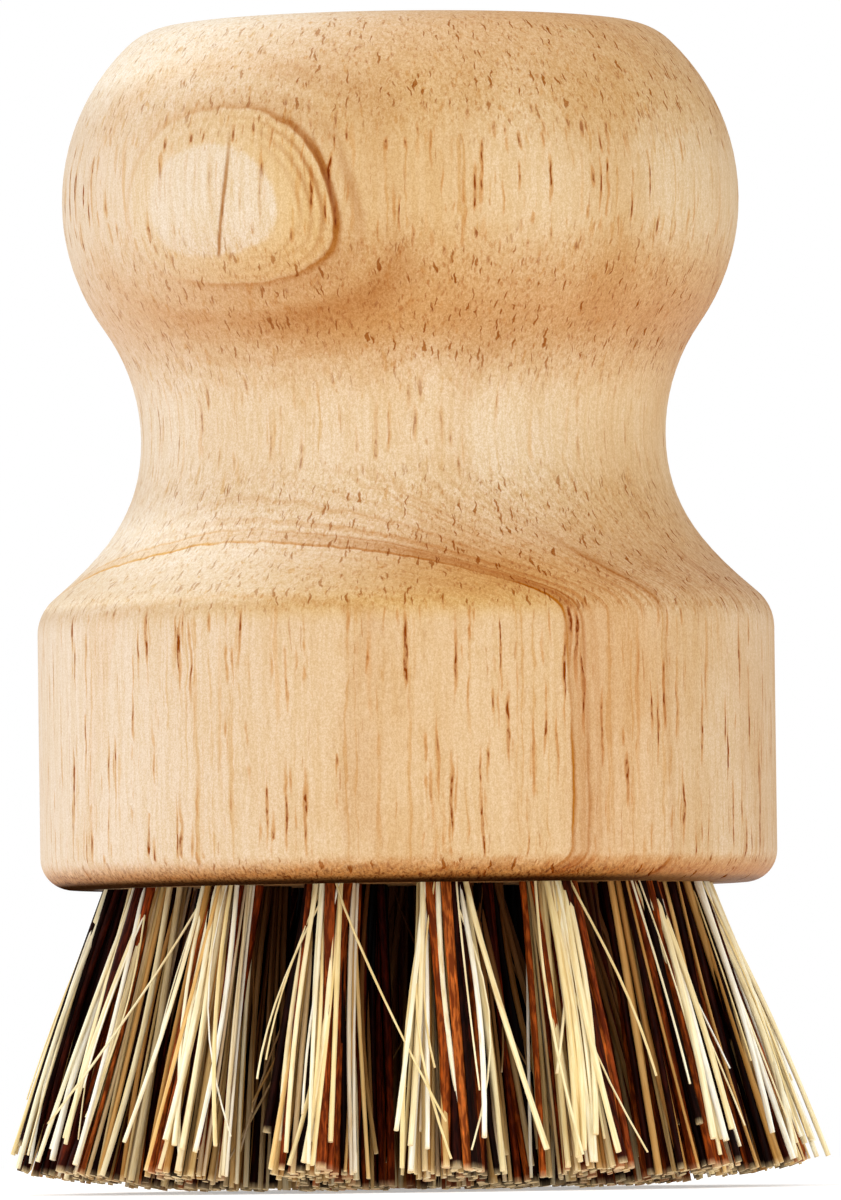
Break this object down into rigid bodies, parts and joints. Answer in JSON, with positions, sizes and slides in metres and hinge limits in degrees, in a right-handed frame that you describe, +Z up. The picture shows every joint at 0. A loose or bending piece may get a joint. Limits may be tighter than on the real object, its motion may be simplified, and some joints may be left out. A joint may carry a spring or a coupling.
{
  "type": "palm brush",
  "caption": "Palm scrubbing brush with a turned wooden knob handle and staple-set tufts of splayed plant fibre.",
  "frame": {"origin": "middle of the trimmed fibre ends, on the plane that the brush stands on", "axes": "+Z up the turning axis towards the crown of the knob, -Y towards the viewer of the picture, +X to the viewer's right"},
  "size_m": [0.062, 0.0619, 0.0907],
  "materials": {
    "wood": "bare turned hardwood, fine sanded",
    "fibre": "mixed stiff plant fibres, trimmed ends",
    "wire": "drawn round wire"
  },
  "bodies": {
    "root": {"handle_block": "wood", "staples_center": "wire", "staples_inner": "wire", "staples_middle": "wire", "staples_outer": "wire", "tuft_center": "fibre", "tuft_inner_01": "fibre", "tuft_inner_02": "fibre", "tuft_inner_03": "fibre", "tuft_inner_04": "fibre", "tuft_inner_05": "fibre", "tuft_middle_01": "fibre", "tuft_middle_02": "fibre", "tuft_middle_03": "fibre", "tuft_middle_04": "fibre", "tuft_middle_05": "fibre", "tuft_middle_06": "fibre", "tuft_middle_07": "fibre", "tuft_middle_08": "fibre", "tuft_middle_09": "fibre", "tuft_middle_10": "fibre", "tuft_outer_01": "fibre", "tuft_outer_02": "fibre", "tuft_outer_03": "fibre", "tuft_outer_04": "fibre", "tuft_outer_05": "fibre", "tuft_outer_06": "fibre", "tuft_outer_07": "fibre", "tuft_outer_08": "fibre", "tuft_outer_09": "fibre", "tuft_outer_10": "fibre", "tuft_outer_11": "fibre", "tuft_outer_12": "fibre", "tuft_outer_13": "fibre", "tuft_outer_14": "fibre", "tuft_outer_15": "fibre", "tuft_outer_16": "fibre"}
  },
  "joints": []
}
